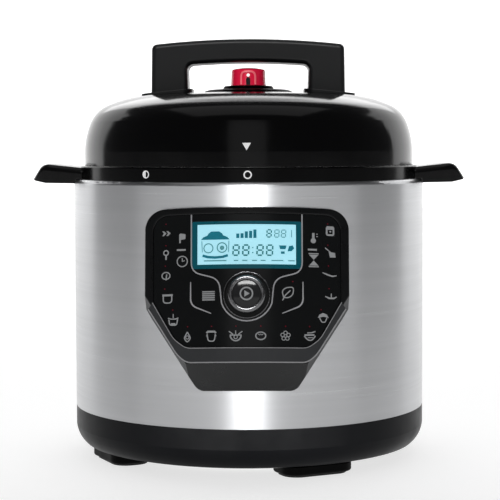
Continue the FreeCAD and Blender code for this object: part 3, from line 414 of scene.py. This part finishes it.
class Drawing:
    """Collects strips and patches laid on a surface and turns them into one object."""

    def __init__(self, name, place, finish, body="cooker", lift=0.06):
        self.name = name
        self.place = place
        self.finish = finish
        self.body = body
        self.lift = lift
        self.vertices = []
        self.faces = []

    def add_patch(self, outline):
        """A filled patch with the given outline."""
        first = len(self.vertices)
        self.vertices += [self.place(u, v, self.lift) for u, v in outline]
        self.faces.append(tuple(range(first, first + len(outline))))
        return self

    def line(self, points, width=0.7, closed=False, tips=1.0):
        """A strip along the points; tips is the width left at its ends."""
        points = list(points)
        if closed:
            points.append(points[0])
        dense = [points[0]]
        for start, end in zip(points, points[1:]):
            parts = max(1, round(math.dist(start, end) / STRIP_STEP))
            for index in range(1, parts + 1):
                dense.append(tuple(a + (b - a) * index / parts for a, b in zip(start, end)))
        rails = []
        count = len(dense)
        for index, (u, v) in enumerate(dense):
            before = dense[index - 1] if index else (dense[-2] if closed else dense[0])
            after = dense[index + 1] if index + 1 < count else (dense[1] if closed else dense[-1])
            run = Vector((after[0] - before[0], after[1] - before[1])).normalized()
            share = 1.0
            if not closed and tips != 1.0:
                share = min(1.0, tips + 3.0 * (1 - tips) * min(index, count - 1 - index) / count)
            side = Vector((-run.y, run.x)) * width * share / 2
            rails.append(((u + side.x, v + side.y), (u - side.x, v - side.y)))
        first = len(self.vertices)
        top = self.lift
        for left, right in rails:
            for (u, v), lift in ((left, STRIP_ROOT), (left, top), (right, top), (right, STRIP_ROOT)):
                self.vertices.append(self.place(u, v, lift))
        for index in range(count - 1):
            low = first + 4 * index
            for edge in range(3):
                self.faces.append((low + edge, low + edge + 1, low + edge + 5, low + edge + 4))
        return self

    def band(self, inner, outer, parts=8):
        """A filled strip between two edges that have the same number of corners."""
        first = len(self.vertices)
        rows = 0
        for index in range(len(inner) - 1):
            for step in range(parts + (index == len(inner) - 2)):
                share = step / parts
                for edge in (inner, outer):
                    (u0, v0), (u1, v1) = edge[index], edge[index + 1]
                    u, v = u0 + (u1 - u0) * share, v0 + (v1 - v0) * share
                    self.vertices.append(self.place(u, v, self.lift))
                rows += 1
        self.faces += [(low, low + 1, low + 3, low + 2) for low in range(first, first + 2 * rows - 2, 2)]
        return self

    def ring(self, u, v, radius, width=0.7, flat=1.0):
        return self.line(arc(u, v, radius, 0, FULL_TURN, flat), width, closed=True)

    def spot(self, u, v, radius, flat=1.0):
        return self.add_patch(arc(u, v, radius, 0, FULL_TURN, flat))

    def block(self, u, v, width, height):
        return self.add_patch([
            (u - width / 2, v - height / 2), (u + width / 2, v - height / 2),
            (u + width / 2, v + height / 2), (u - width / 2, v + height / 2),
        ])

    def digit(self, u, v, width, height, stroke):
        """A seven-segment eight, leaning a little to the right."""
        half = width / 2
        tall = height / 2
        gap = stroke * 0.5
        slant = 0.06
        for level in (-1, 0, 1):
            middle = u + slant * level * tall
            bar_v = v + level * tall
            self.line([(middle - half + gap, bar_v), (middle + half - gap, bar_v)], stroke)
        for side in (-1, 1):
            for level in (-1, 1):
                low = v + (0 if level > 0 else -tall)
                self.line([
                    (u + side * half + slant * (low + gap - v), low + gap),
                    (u + side * half + slant * (low + tall - gap - v), low + tall - gap),
                ], stroke)
        return self

    def finish_object(self):
        """Makes the object and lets it ride on its body."""
        item = mesh_object(self.name, self.vertices, self.faces, MATERIALS[self.finish])
        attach(item, self.body)


def mesh_object(name, vertices, faces, material):
    mesh = bpy.data.meshes.new(name)
    mesh.from_pydata([tuple(vertex) for vertex in vertices], [], faces)
    mesh.validate()
    mesh.materials.append(material)
    item = bpy.data.objects.new(name, mesh)
    bpy.context.scene.collection.objects.link(item)
    return item


# ------------------------------------------------------------------ panel print
def draw_trim():
    """The printed light lines round the display and the knob, and the lip strip with painted highlight lines
    along its edges.
    """
    trim = Drawing("trim_line", panel_face(GLASS_SINK), "trim", lift=0.3)
    sweep_radius = 19.9
    sweep_v = KNOB_V + 0.6
    sweep = []
    for degrees in range(200, 341, 10):
        angle = math.radians(degrees)
        sweep.append((sweep_radius * math.cos(angle), sweep_v + sweep_radius * math.sin(angle)))
    left = smooth([(-41.5, 52.7), (-41.5, 9.4), (-20.6, 3.9), sweep[0]], 7.0)
    right = smooth([sweep[-1], (20.6, 3.9), (41.5, 9.4), (41.5, 52.7)], 7.0)
    trim.line(left + sweep[1:-1] + right, 0.95)
    for side in (-1, 1):
        loose_end = [(side * 42.0, 2.0), (side * 42.0, -15.5), (side * 26.5, -21.8)]
        trim.line(smooth(loose_end, 5.0), 1.1, tips=0.6)
    trim.finish_object()
    glass_edge = [(-71.4, -12.6), (-55.0, -40.5), (-45.6, -47.5), (45.6, -47.5), (55.0, -40.5), (71.4, -12.6)]
    lip_edge = [(-74.6, -17.4), (-52.0, -52.6), (-45.0, -58.2), (45.0, -58.2), (52.0, -52.6), (74.6, -17.4)]
    Drawing("lip_strip", panel_face(0.0), "lip", lift=0.25).band(glass_edge, lip_edge).finish_object()
    # Painted highlights: grey strips along the glass edge and the lip edge, where those edges would catch
    # light.
    edge = Drawing("glass_edge_highlight_lines", panel_face(0.0), "edge_highlight_paint", lift=0.35)
    edge.line(smooth(glass_edge, 4.0), 0.55)
    edge.line(smooth(lip_edge, 4.0), 0.9)
    edge.finish_object()


def draw_display():
    """Mask, border and artwork of the liquid-crystal display."""
    face = panel_face(WINDOW_SINK)
    mask = Drawing("display_mask", face, "dead_face", lift=0.02)
    first_u = -38.6
    pitch = 5.15
    for index in range(16):
        mask.block(first_u + pitch * index, 48.6, pitch + 0.01, 2.4)
    mask.finish_object()
    edge = Drawing("display_edge", face, "display_edge", lift=0.04)
    edge.line([(-41.1, 13.2), (41.1, 13.2)], 3.2)
    edge.line([(-41.1, 46.0), (41.1, 46.0)], 2.4)
    for side in (-1, 1):
        edge.line([(side * 39.0, 12.0), (side * 39.0, 47.0)], 4.3)
    edge.finish_object()
    ink = Drawing("display_ink", face, "display_ink", lift=0.05)
    dome_line = [(-34.0, 33.7), (-32.4, 35.4), (-29.4, 36.6), (-28.6, 38.0), (-26.5, 39.6),
                 (-20.5, 39.6), (-18.2, 38.0), (-17.5, 36.6), (-14.5, 35.4), (-12.9, 33.7)]
    ink.band([(u, 33.4) for u, v in dome_line], dome_line, 2)
    ink.line([(-33.0, 21.6), (-29.0, 20.4), (-23.5, 20.0), (-18.0, 20.4), (-14.0, 21.6)], 1.9)
    for index, height in enumerate((3.4, 3.6, 5.0, 5.4, 6.4)):
        ink.block(-6.6 + 3.2 * index, 34.4 + height / 2, 2.3, height)
    ink.add_patch([(24.2, 29.0), (29.8, 29.0), (29.0, 26.2), (25.0, 26.2)])
    ink.block(27.0, 23.6, 2.8, 1.8)
    ink.add_patch([(30.6, 24.6), (33.6, 24.8), (35.6, 27.0), (34.4, 29.2), (31.6, 28.6)])
    ink.finish_object()
    digits = Drawing("display_digits", face, "display_digit", lift=0.05)
    for u in (-7.9, -0.6, 10.0, 17.2):
        digits.digit(u, 25.3, 4.3, 7.6, 1.15)
    for v in (23.4, 27.2):
        digits.block(4.6, v, 0.9, 0.9)
    digits.digit(16.8, 37.9, 3.2, 5.4, 0.95)
    digits.finish_object()
    faint = Drawing("display_faint", face, "display_faint", lift=0.05)
    for u in (22.6, 27.6):
        faint.digit(u, 37.9, 3.2, 5.4, 0.7)
    faint.line([(33.6, 35.2), (33.6, 40.8)], 0.6)
    faint.ring(-28.6, 27.0, 3.4, 0.8)
    faint.ring(-18.4, 27.4, 3.6, 0.9)
    faint.spot(-18.4, 27.2, 1.7)
    faint.line([(-33.6, 32.4), (-33.2, 24.0)], 0.6)
    faint.line([(-13.2, 32.4), (-13.6, 24.0)], 0.6)
    faint.line([(-32.0, 17.6), (-15.0, 17.6)], 0.9)
    for start, end in ((-9.6, -6.2), (-3.4, 0.6), (4.0, 7.8), (10.4, 14.2), (18.4, 27.4), (31.0, 36.0)):
        faint.line([(start, 17.6), (end, 17.6)], 0.8)
    faint.finish_object()


def draw_lamps():
    """Red lamp spots above the program keys."""
    lamps = Drawing("lamp_spots", panel_face(GLASS_SINK), "lamp", lift=0.12)
    for u in (-44.2, -26.2, -8.0, 10.4, 28.9, 46.8):
        lamps.spot(u, -31.4, 0.5)
    for side in (-1, 1):
        for u, v in ((61.0, 46.4), (61.0, 30.2), (61.4, 14.6), (61.8, -2.6), (55.6, -18.6)):
            lamps.spot(side * u, v, 0.5)
    lamps.spot(34.4, 2.0, 0.5)
    lamps.finish_object()


def draw_keys():
    """Pictograms of the touch keys: foods and vessels at the sides and bottom, settings inside."""
    keys = Drawing("key_legends", panel_face(GLASS_SINK), "legend", lift=0.12)
    left_column(keys)
    right_column(keys)
    bottom_row(keys)
    setting_keys(keys)
    keys.finish_object()


def left_column(keys):
    for shift in (-3.0, 0.2):
        keys.add_patch([(-60.9 + shift, 41.2), (-59.6 + shift, 41.2), (-57.6 + shift, 39.4),
                        (-59.6 + shift, 37.5), (-60.9 + shift, 37.5), (-59.6 + shift, 39.4)])
    keys.ring(-60.9, 24.6, 1.8, 0.9)
    keys.line([(-60.9, 23.0), (-60.9, 19.4)], 1.2)
    keys.ring(-60.9, 7.3, 3.1, 0.8, 0.85)
    keys.line([(-60.3, 8.4), (-60.9, 4.0)], 0.9)
    keys.line(smooth([(-62.9, -7.4), (-62.9, -13.2), (-56.4, -13.2), (-56.4, -7.4)], 2.4), 0.9)
    keys.line([(-63.6, -7.4), (-55.6, -7.4)], 1.5)
    keys.line(smooth([(-58.6, -25.6), (-57.8, -30.0), (-52.6, -30.0), (-51.8, -25.6)], 1.6), 0.9)
    keys.line([(-59.2, -24.6), (-57.0, -25.4), (-53.4, -25.4), (-51.2, -24.6)], 0.8)
    keys.line([(-55.2, -24.6), (-55.2, -21.6)], 0.7)
    keys.block(-55.2, -29.2, 3.4, 1.5)


def right_column(keys):
    keys.line(smooth([(60.2, 44.0), (65.4, 44.0), (65.4, 38.0), (60.2, 38.0), (60.2, 43.8)], 1.0), 1.3)
    keys.line([(60.4, 42.9), (65.2, 42.9)], 1.7)
    keys.spot(63.0, 40.6, 0.7)
    keys.line([(58.9, 28.2), (63.2, 24.8)], 0.7)
    keys.add_patch([(61.6, 25.2), (66.4, 24.6), (67.0, 21.2), (62.6, 21.0)])
    keys.line([(56.8, 9.4), (60.4, 8.0), (64.4, 6.8), (67.6, 7.4)], 1.3, tips=0.5)
    keys.line([(58.8, -8.4), (61.6, -9.8), (65.4, -9.8), (67.6, -8.6)], 1.4, tips=0.5)
    keys.line([(63.4, -9.6), (63.4, -6.2)], 0.8)
    keys.add_patch([(53.0, -24.9), (54.2, -22.4), (57.0, -21.0), (60.0, -22.2), (61.4, -24.7), (59.2, -24.2),
                    (57.2, -23.8), (55.0, -24.3)])
    keys.line(smooth([(54.4, -24.6), (56.0, -28.0), (58.6, -28.0), (60.0, -24.6)], 1.2), 0.8)


def bottom_row(keys):
    leaf = [(-44.4, -35.4), (-41.8, -40.0), (-44.4, -43.2), (-47.0, -40.0), (-44.4, -35.4)]
    keys.line(smooth(leaf, 1.6), 0.8)
    keys.ring(-44.4, -39.4, 1.2, 0.6)
    keys.line([(-29.9, -36.4), (-28.8, -35.3), (-24.0, -35.3), (-22.9, -36.4)], 1.5)
    keys.line(smooth([(-29.5, -37.2), (-28.7, -42.4), (-24.1, -42.4), (-23.3, -37.2)], 1.8), 0.9)
    keys.line([(-30.2, -38.4), (-29.2, -38.4)], 0.8)
    keys.line([(-23.6, -38.4), (-22.6, -38.4)], 0.8)
    keys.line(arc(-8.2, -38.2, 4.0, 180, 360), 1.0)
    keys.line([(-12.6, -38.0), (-3.8, -38.0)], 0.8)
    keys.line([(-8.2, -37.4), (-8.2, -34.6)], 0.7)
    keys.line([(-10.2, -37.4), (-13.2, -35.2)], 0.8)
    keys.line([(-6.2, -37.4), (-3.2, -35.2)], 0.8)
    keys.ring(-8.2, -39.4, 1.3, 0.6)
    keys.ring(10.4, -38.6, 3.7, 0.9, 0.75)
    keys.line([(8.6, -37.2), (9.6, -38.0), (10.4, -37.2), (11.2, -38.0), (12.2, -37.2)], 0.6)
    for turn in range(5):
        angle = math.radians(90 + 72 * turn)
        keys.ring(28.8 + 2.3 * math.cos(angle), -38.6 + 2.3 * math.sin(angle), 1.3, 0.6)
    keys.ring(28.8, -38.6, 1.0, 0.6)
    keys.line(smooth([(42.8, -38.4), (45.6, -41.8), (48.8, -41.6), (51.2, -38.2)], 2.0), 0.9)
    keys.line([(43.0, -37.8), (50.4, -37.6)], 1.2)
    keys.line([(45.0, -36.2), (48.2, -36.0), (51.2, -35.0)], 0.8)
    keys.line([(45.4, -39.8), (49.2, -39.6)], 0.6)


def setting_keys(keys):
    """Pennant, clock, thermometer, timer and list signs beside the display and the knob."""
    keys.line([(-50.2, 38.4), (-50.2, 31.6)], 1.2)
    keys.add_patch([(-50.0, 38.9), (-46.0, 38.2), (-46.0, 34.6), (-50.0, 33.9)])
    clock = (-48.4, 17.7)
    keys.ring(*clock, 3.9, 0.8)
    keys.line([(clock[0], clock[1] + 2.4), clock, (clock[0] + 1.8, clock[1] + 0.6)], 0.8)
    for side in (-1, 1):
        keys.line([(side * 49.2 - 3.4, 26.4), (side * 49.2 + 3.4, 26.4)], 1.3)
    keys.line([(50.0, 39.0), (50.0, 35.0)], 1.9)
    keys.spot(50.0, 33.2, 2.0)
    keys.line([(52.2, 38.2), (53.4, 38.2)], 0.6)
    keys.line([(52.2, 36.4), (53.4, 36.4)], 0.6)
    keys.add_patch([(46.6, 22.6), (53.8, 22.6), (50.2, 18.8)])
    keys.add_patch([(46.6, 14.4), (53.8, 14.4), (50.2, 18.2)])
    keys.line([(46.4, 13.6), (54.0, 13.6)], 0.8)
    keys.line([(46.4, 23.4), (54.0, 23.4)], 0.8)
    for level in range(5):
        keys.line([(-33.2, -5.6 - 1.5 * level), (-23.8, -5.6 - 1.5 * level)], 0.95)
    keys.line(smooth([(27.6, -10.0), (26.2, -5.0), (29.6, -2.4), (35.0, -2.2), (34.6, -7.6), (31.4, -10.2),
                      (27.6, -10.0)], 2.2), 0.8)
    keys.line([(26.6, -12.2), (28.8, -8.2), (32.6, -4.6)], 0.8)


def draw_lock_marks():
    """The two marks on the upper ring for the ends of the lid's turn, and the pointer on the lid."""
    marks_z = 233.6
    mark_radius = 2.7
    second_azimuth = -33.8
    pointer_z = 252.0
    front = Drawing("lock_mark_shut", drum_face(0.0, marks_z, ring_wall), "legend_white")
    front.ring(0.8, 0.0, mark_radius, 1.0).finish_object()
    side = Drawing("lock_mark_open", drum_face(second_azimuth, marks_z, ring_wall), "legend_white")
    side.ring(0.0, 0.0, mark_radius, 0.8)
    side.add_patch(arc(0.0, 0.0, mark_radius, 90, 270)).finish_object()
    lid_side = drum_face(0.0, pointer_z, lid_wall)
    pointer = Drawing("lid_pointer", lid_side, "legend_white", body="lid", lift=0.25)
    pointer.add_patch([(0.0, 0.0), (3.3, 5.6), (-3.3, 5.6)]).finish_object()


# ------------------------------------------------------------------ knob and valve details
def ride_smooth(name, vertices, faces, finish, body):
    """Makes a smooth-shaded object that rides on a body."""
    item = mesh_object(name, vertices, faces, MATERIALS[finish])
    for polygon in item.data.polygons:
        polygon.use_smooth = True
    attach(item, body)


def dome(name, centre, out, rim_radius, rise, finish, body):
    """A shallow dome square to the axis, made of rings that close at its top; sizes in millimetres."""
    across = Vector((1, 0, 0))
    up = out.cross(across)
    rings = 8
    around = 48
    vertices = []
    for ring in range(rings):
        share = 1 - ring / rings
        radius = rim_radius * share
        height = rise * (1 - share * share)
        for index in range(around):
            angle = 2 * math.pi * index / around
            vertices.append(centre + (across * radius * math.cos(angle) + up * radius * math.sin(angle)
                                      + out * height) * MM)
    vertices.append(centre + out * rise * MM)
    faces = []
    for ring in range(rings - 1):
        for index in range(around):
            after = (index + 1) % around
            low = ring * around
            faces.append((low + index, low + after, low + around + after, low + around + index))
    last = (rings - 1) * around
    faces += [(last + index, last + (index + 1) % around, rings * around) for index in range(around)]
    ride_smooth(name, vertices, faces, finish, body)


def torus_ring(name, centre, out, radius, wire, finish, body):
    """A rounded hoop square to the axis; wire is the radius of its section."""
    across = Vector((1, 0, 0))
    up = out.cross(across)
    around = 72
    section = 12
    vertices = []
    for index in range(around):
        angle = 2 * math.pi * index / around
        radial = across * math.cos(angle) + up * math.sin(angle)
        for step in range(section):
            turn = 2 * math.pi * step / section
            offset = radial * (radius + wire * math.cos(turn)) + out * wire * math.sin(turn)
            vertices.append(centre + offset * MM)
    faces = []
    for index in range(around):
        after = (index + 1) % around
        for step in range(section):
            following = (step + 1) % section
            faces.append((index * section + step, after * section + step, after * section + following,
                          index * section + following))
    ride_smooth(name, vertices, faces, finish, body)


def dress_knob():
    """Polished dome with a start mark, a rounded bright rim and a thin hoop round the well."""
    cap_height = 10.4
    cap_rise = 2.5
    rim_height = 9.0
    rim_radius = 12.0
    rim_wire = 1.9
    well_radius = 17.1
    hoop_wire = 0.4
    out = Vector(KNOB["axis"]).normalized()
    centre = Vector(KNOB["pos_m"])
    top = centre + out * cap_height * MM
    dome("knob_dome", top, out, rim_radius - rim_wire - 0.1, cap_rise, "knob_black", "knob_cap")
    torus_ring("knob_rim", centre + out * rim_height * MM, out, rim_radius, rim_wire, "chrome", "knob_ring")
    torus_ring("well_rim", centre + out * 0.1 * MM, out, well_radius, hoop_wire, "chrome", "cooker")
    up = out.cross(Vector((1, 0, 0)))
    mark = Drawing("start_mark", disc_face(top, out, up), "legend", body="knob_cap", lift=cap_rise + 0.05)
    mark.ring(0.0, 0.0, 4.5, 1.1)
    mark.add_patch([(-1.5, -2.3), (2.4, 0.0), (-1.5, 2.3)])
    mark.finish_object()


def dress_valve():
    """Raised rib over the valve's front in a lighter red as painted highlight, its slot as a painted dark
    shade band, and a white painted-highlight dot.
    """
    side = drum_face(0.0, VALVE_FOOT_Z, valve_wall)
    # The rib's lighter red is a painted highlight on the same plastic as the valve.
    rib = Drawing("valve_rib", side, "red_painted_highlight", body="pressure_valve", lift=0.5)
    rib.line(smooth([(-6.0, 0.6), (-6.0, 11.4), (6.0, 11.4), (6.0, 0.6)], 4.5), 1.7).finish_object()
    # painted shade: a flat dark band stands in for the shaded hollow of the slot, which is not cut
    slot = Drawing("valve_slot_shade", side, "dead_face", body="pressure_valve", lift=0.3)
    slot.band([(-1.7, 0.2), (-1.7, 5.4), (-0.8, 6.6)], [(1.7, 0.2), (1.7, 5.4), (0.8, 6.6)], 3)
    slot.finish_object()
    # painted highlight: a white glowing dot where light catches the top of the slot
    dot = Drawing("valve_highlight_dot", side, "legend_white", body="pressure_valve", lift=0.4)
    dot.spot(0.0, 8.3, 1.3).finish_object()


def seat_sensor_spring():
    """Gives the spring under the temperature sensor a mesh of its own."""
    spring = nodes["sensor_spring"]
    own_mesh(spring)


# ------------------------------------------------------------------ camera, stage and lights
def aim(item, place, target):
    item.location = place
    item.rotation_mode = "QUATERNION"
    item.rotation_quaternion = (Vector(target) - Vector(place)).to_track_quat("-Z", "Y")


def set_camera():
    """The camera stands 1.37 m in front of the cooker, level with its lid, and looks slightly down."""
    distance = 1.368
    height = 0.259
    azimuth = math.radians(0.65)
    pitch = math.radians(3.82)
    roll = math.radians(-0.19)
    data = bpy.data.cameras.new("camera")
    data.sensor_width = 36.0
    data.lens = 117.6
    data.shift_x = 0.0021
    camera = bpy.data.objects.new("camera", data)
    bpy.context.scene.collection.objects.link(camera)
    level = math.cos(pitch)
    back = Vector((math.sin(azimuth) * level, -math.cos(azimuth) * level, math.sin(pitch)))
    camera.location = (distance * math.sin(azimuth), -distance * math.cos(azimuth), height)
    camera.rotation_mode = "QUATERNION"
    tilt = Matrix.Rotation(roll, 3, "Z").to_quaternion()
    camera.rotation_quaternion = (-back).to_track_quat("-Z", "Y") @ tilt
    bpy.context.scene.camera = camera


def area_light(name, place, target, width, height, radiance, only=()):
    """A soft box whose brightness is given as seen directly; it can be kept to the named pieces."""
    data = bpy.data.lights.new(name, "AREA")
    data.shape = "RECTANGLE"
    data.size = width
    data.size_y = height
    data.energy = radiance * math.pi * width * height
    lamp = bpy.data.objects.new(name, data)
    bpy.context.scene.collection.objects.link(lamp)
    aim(lamp, place, target)
    if only:
        lit = bpy.data.collections.new(name + "_lit")
        for piece in only:
            lit.objects.link(nodes.get(piece) or bpy.data.objects[piece])
        lamp.light_linking.receiver_collection = lit


def stage_material(name, shade, glow):
    shader = Shader(name).set(Roughness=0.9, Emission_Strength=glow, Emission_Color=(1, 1, 1, 1))
    shader.colour(shader.noise(2.0), [(0.3, grey(shade - 0.01)), (0.7, grey(shade))])
    return shader.material


def set_stage():
    """White floor, and a white curtain that stands behind the cooker in a wide arc."""
    reach = 6.0
    corners = [(-reach, -reach, 0), (reach, -reach, 0), (reach, reach, 0), (-reach, reach, 0)]
    floor = mesh_object("floor", corners, [(0, 1, 2, 3)], stage_material("floor_white", 0.45, 0.72))
    curtain_radius = 5.0
    half_sweep = math.radians(62)
    steps = 48
    rims = []
    for index in range(steps + 1):
        angle = math.radians(90) - half_sweep + 2 * half_sweep * index / steps
        rims.append((curtain_radius * math.cos(angle), curtain_radius * math.sin(angle)))
    vertices = [(x, y, z) for z in (-0.01, 4.0) for x, y in rims]
    faces = [(i, i + 1, i + 2 + steps, i + 1 + steps) for i in range(steps)]
    curtain = mesh_object("curtain", vertices, faces, stage_material("curtain_white", 0.8, 1.0))


def set_lights():
    """Strips and boxes for the whole cooker, and strips and keys that are kept to a few pieces each."""
    world = bpy.data.worlds.new("studio")
    world.use_nodes = True
    background = world.node_tree.nodes["Background"]
    background.inputs["Color"].default_value = (0.07, 0.07, 0.073, 1)
    background.inputs["Strength"].default_value = 1.0
    bpy.context.scene.world = world
    for width, radiance in ((0.45, 0.35), (0.8, 0.35), (1.15, 0.3)):
        area_light("front_strip", (0.0, -2.4, 1.1), (0, 0, 0.5), width, 2.2, radiance)
    area_light("steel_strip", (0.0, -2.3, 0.9), (0, 0, 0.3), 0.75, 2.4, 9.0, ["steel_sleeve"])
    area_light("steel_foot", (0.0, -0.9, 0.03), (0, 0, 0.08), 6.0, 0.25, 1.3, ["steel_sleeve"])
    area_light("base_key", (0.0, -1.3, 0.32), (0, 0, 0.05), 3.2, 0.45, 22.0, ["base_housing"])
    area_light("back_box", (0.0, 2.6, 1.9), (0, 0, 0.3), 3.0, 1.4, 1.6)
    for width, depth in ((2.6, 1.8), (1.5, 1.1)):
        area_light("top_box", (0.0, -0.1, 2.6), (0, 0, 0.2), width, depth, 0.4)
    area_light("handle_key", (0.0, -1.5, 1.5), (0, 0, 0.34), 1.4, 0.5, 6.0, ["lid_handle"])
    area_light("grip_key", (0.0, -1.3, 1.5), (0, 0, 0.24), 0.5, 0.4, 9.0,
               ["side_handle_left", "side_handle_right"])
    area_light("valve_key", (-0.3, -1.6, 1.0), (0, 0, 0.31), 0.6, 0.6, 20.0,
               ["pressure_valve", "valve_rib", "valve_highlight_dot"])
    area_light("knob_key", (0.0, -1.2, 1.3), (0, -0.16, 0.15), 0.9, 0.4, 22.0,
               ["knob_rim", "knob_ring", "well_rim"])
    area_light("dome_key", (0.0, -0.85, 1.32), (0, -0.16, 0.15), 1.5, 0.24, 26.0, ["knob_dome"])
    bpy.context.scene.view_settings.view_transform = "Standard"


finish_cad_nodes()
draw_trim()
draw_display()
draw_lamps()
draw_keys()
draw_lock_marks()
dress_knob()
dress_valve()
seat_sensor_spring()
set_camera()
set_stage()
set_lights()
